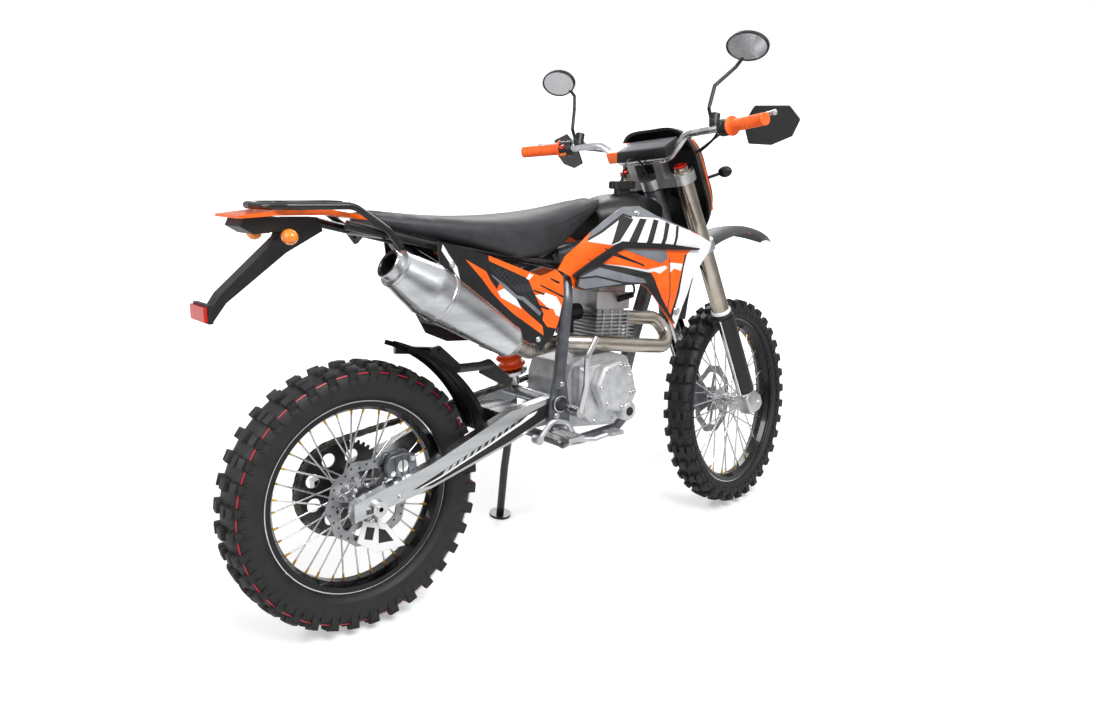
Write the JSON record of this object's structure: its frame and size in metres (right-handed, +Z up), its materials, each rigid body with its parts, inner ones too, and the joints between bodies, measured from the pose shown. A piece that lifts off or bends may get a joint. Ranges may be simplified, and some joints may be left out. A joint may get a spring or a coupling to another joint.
{
  "type": "enduro dirt bike",
  "caption": "Single-seat off-road motorcycle with knobbly tyres on wire wheels, upside-down fork, handguards, side exhaust and a side stand that it leans on.",
  "frame": {"origin": "on the ground, at the bottom centre of the bike's box as it stands on its side stand", "axes": "+X forward, +Y to the rider's left, +Z up; the bike leans to its left on its stand"},
  "size_m": [2.1262, 0.855, 1.5232],
  "materials": {
    "knob_rubber": "matt",
    "black_rim": "gloss",
    "bright_steel": "satin",
    "cast_alloy": "satin",
    "fork_finish": "satin",
    "black_steel": "satin",
    "chain_steel": "satin",
    "pipe_steel": "brushed",
    "black_plastic": "matt",
    "tank_plastic": "satin",
    "panel_plastic": "gloss",
    "orange_plastic": "gloss",
    "orange_spring": "gloss",
    "seat_cover": "grained",
    "grip_rubber": "matt",
    "red_lens": "gloss",
    "amber_lens": "gloss",
    "lamp_glass": "gloss",
    "mirror_black": "satin"
  },
  "bodies": {
    "chassis": {"drive_chain": "chain_steel", "engine_crankcase": "cast_alloy", "clutch_cover": "cast_alloy", "cylinder_head": "cast_alloy", "air_intake": "black_plastic", "exhaust_header": "pipe_steel", "muffler": "bright_steel", "main_frame": "black_steel", "rear_subframe": "black_steel", "luggage_rack": "black_steel", "swingarm": "cast_alloy", "rear_axle": "bright_steel", "rear_shock": "orange_spring", "fuel_tank": "tank_plastic", "tank_cap": "black_plastic", "seat": "seat_cover", "shrouds": "panel_plastic", "side_panels": "black_plastic", "inner_fender": "black_plastic", "rear_fender": "orange_plastic", "plate_holder": "black_plastic", "rear_reflector": "red_lens", "tail_light": "black_plastic", "rear_signals": "amber_lens", "footpegs": "bright_steel", "passenger_pegs": "black_steel", "brake_pedal": "bright_steel", "gear_lever": "bright_steel", "kick_lever": "bright_steel", "rear_caliper": "cast_alloy", "disc_guard": "cast_alloy"},
    "steering": {"triple_clamps": "cast_alloy", "fork_tubes": "fork_finish", "fork_legs": "cast_alloy", "handlebar": "bright_steel", "grips": "grip_rubber", "bar_controls": "black_plastic", "bar_pad": "black_plastic", "mirrors": "mirror_black", "handguards": "black_plastic", "headlight_mask": "tank_plastic", "headlight": "lamp_glass", "front_fender": "black_plastic", "front_caliper": "cast_alloy", "front_signals": "black_plastic"},
    "front_wheel": {"front_tyre": "knob_rubber", "front_rim": "black_rim", "front_hub": "bright_steel", "front_brake_disc": "bright_steel"},
    "rear_wheel": {"rear_tyre": "knob_rubber", "rear_rim": "black_rim", "rear_hub": "bright_steel", "rear_brake_disc": "bright_steel", "rear_sprocket": "black_steel"},
    "side_stand": {"side_stand": "black_steel"}
  },
  "joints": [
    {"name": "steer", "type": "hinge", "parent": "chassis", "child": "steering", "pos_m": [0.65762, -0.15557, 0.31899], "axis": [-0.4242, 0.1417, 0.8944], "range_deg": [-54, 30]},
    {"name": "front_wheel_spin", "type": "hinge", "parent": "steering", "child": "front_wheel", "pos_m": [0.71608, -0.13773, 0.34389], "axis": [-0.1883, 0.9523, -0.2401], "continuous": true},
    {"name": "rear_wheel_spin", "type": "hinge", "parent": "chassis", "child": "rear_wheel", "pos_m": [-0.71763, -0.15267, 0.33731], "axis": [0, 0.9877, -0.1564], "continuous": true},
    {"name": "stand_fold", "type": "hinge", "parent": "chassis", "child": "side_stand", "pos_m": [-0.11752, 0.00549, 0.37699], "axis": [-0.1274, 0.9917, -0.0166], "range_deg": [0, 100]}
  ]
}
